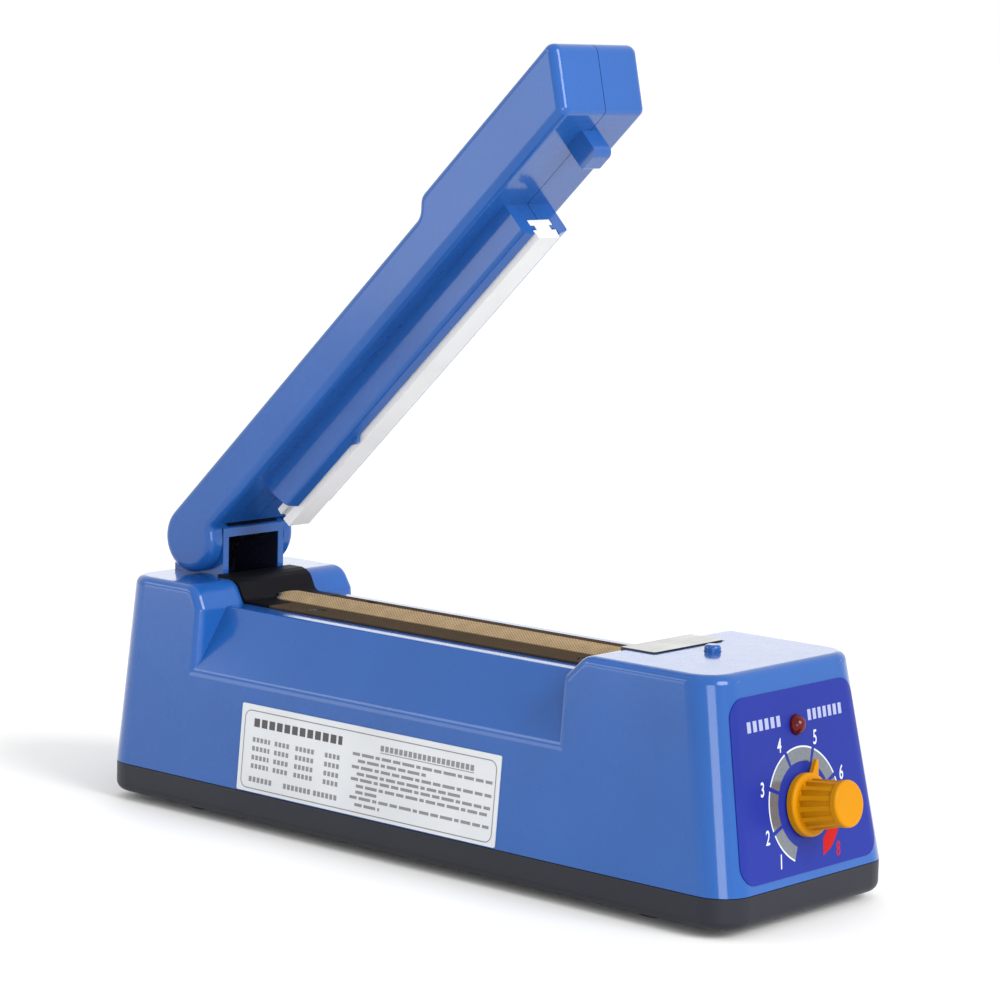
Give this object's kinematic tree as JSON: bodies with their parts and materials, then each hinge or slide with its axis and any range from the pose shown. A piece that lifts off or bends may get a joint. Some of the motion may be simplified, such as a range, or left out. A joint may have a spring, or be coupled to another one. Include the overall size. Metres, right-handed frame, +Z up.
{
  "type": "impulse heat sealer",
  "caption": "Hand-operated impulse sealer: long wedge base with a heated sealing bar, a hinged press arm, a timer dial, a lamp and an arm-actuated switch.",
  "frame": {"origin": "under the middle of the whole object, on the plane its feet rest on", "axes": "+X along the base from the hinge tower to the control panel, +Y towards the side without the rating label, +Z up"},
  "size_m": [0.2326, 0.0693, 0.2121],
  "materials": {
    "blue_plastic": "gloss",
    "tray_plastic": "satin",
    "rubber": "matte",
    "zinc": "satin",
    "bar_metal": "satin",
    "glass_cloth": "matte",
    "ribbon_metal": "satin",
    "ptfe": "satin",
    "black_sheet": "satin",
    "cover_metal": "satin",
    "brass": "satin",
    "panel_print": "gloss",
    "rating_print": "satin",
    "lamp_red": "gloss",
    "black_plastic": "satin",
    "pot_metal": "satin",
    "knob_orange": "satin",
    "bracket_steel": "satin",
    "core_steel": "satin",
    "bobbin_plastic": "satin",
    "copper_wire": "satin",
    "board_green": "satin",
    "capacitor_sleeve": "satin",
    "fin_aluminium": "satin",
    "resistor_body": "satin",
    "white_bar": "satin",
    "spring_steel": "satin"
  },
  "bodies": {
    "base": {"upper_housing": "blue_plastic", "bottom_tray": "tray_plastic", "rubber_feet": "rubber", "cord_bushing": "rubber", "tray_screws": "zinc", "bar_screws": "zinc", "board_screws": "zinc", "floor_screws": "zinc", "terminal_screw": "zinc", "potentiometer_nut": "zinc", "sealing_bar": "bar_metal", "insulating_strip": "glass_cloth", "heating_ribbon": "ribbon_metal", "ptfe_cloth": "ptfe", "rear_cover": "black_sheet", "front_cover_plate": "cover_metal", "front_terminal": "brass", "rear_terminal": "brass", "pivot_bushes": "brass", "panel_label": "panel_print", "rating_label": "rating_print", "pilot_lamp": "lamp_red", "lamp_holder": "black_plastic", "micro_switch": "black_plastic", "relay": "black_plastic", "potentiometer": "pot_metal", "switch_bracket": "bracket_steel", "transformer_strap": "bracket_steel", "transformer_core": "core_steel", "bobbin": "bobbin_plastic", "primary_winding": "copper_wire", "secondary_winding": "copper_wire", "circuit_board": "board_green", "capacitor": "capacitor_sleeve", "triac_on_fin": "fin_aluminium", "resistors": "resistor_body", "return_spring": "spring_steel"},
    "arm": {"arm_near_half": "blue_plastic", "arm_far_half": "blue_plastic", "arm_screws": "zinc", "pressure_bar": "white_bar", "pivot_pin": "zinc", "spring_collar": "spring_steel"},
    "push_button": {"switch_button": "blue_plastic"},
    "dial": {"timer_knob": "knob_orange", "potentiometer_shaft": "zinc"}
  },
  "joints": [
    {"name": "arm_hinge", "type": "hinge", "parent": "base", "child": "arm", "pos_m": [-0.09941, 0, 0.07434], "axis": [0, 1, 0], "range_deg": [0, 43.72], "stiffness_Nm_per_rad": 0.1, "springref_deg": -57.3},
    {"name": "button_press", "type": "slide", "parent": "base", "child": "push_button", "axis": [0, 0, -1], "range_m": [0, 0.0013], "stiffness_N_per_m": 60, "springref_m": -0.002},
    {"name": "timer_turn", "type": "hinge", "parent": "base", "child": "dial", "pos_m": [0.10157, 0, 0.02833], "axis": [0.9828, 0, 0.1848], "range_deg": [-125, 172]}
  ],
  "couplings": [
    {"joint": "button_press", "follows": "arm_hinge", "m_per_rad": 0.0017}
  ]
}
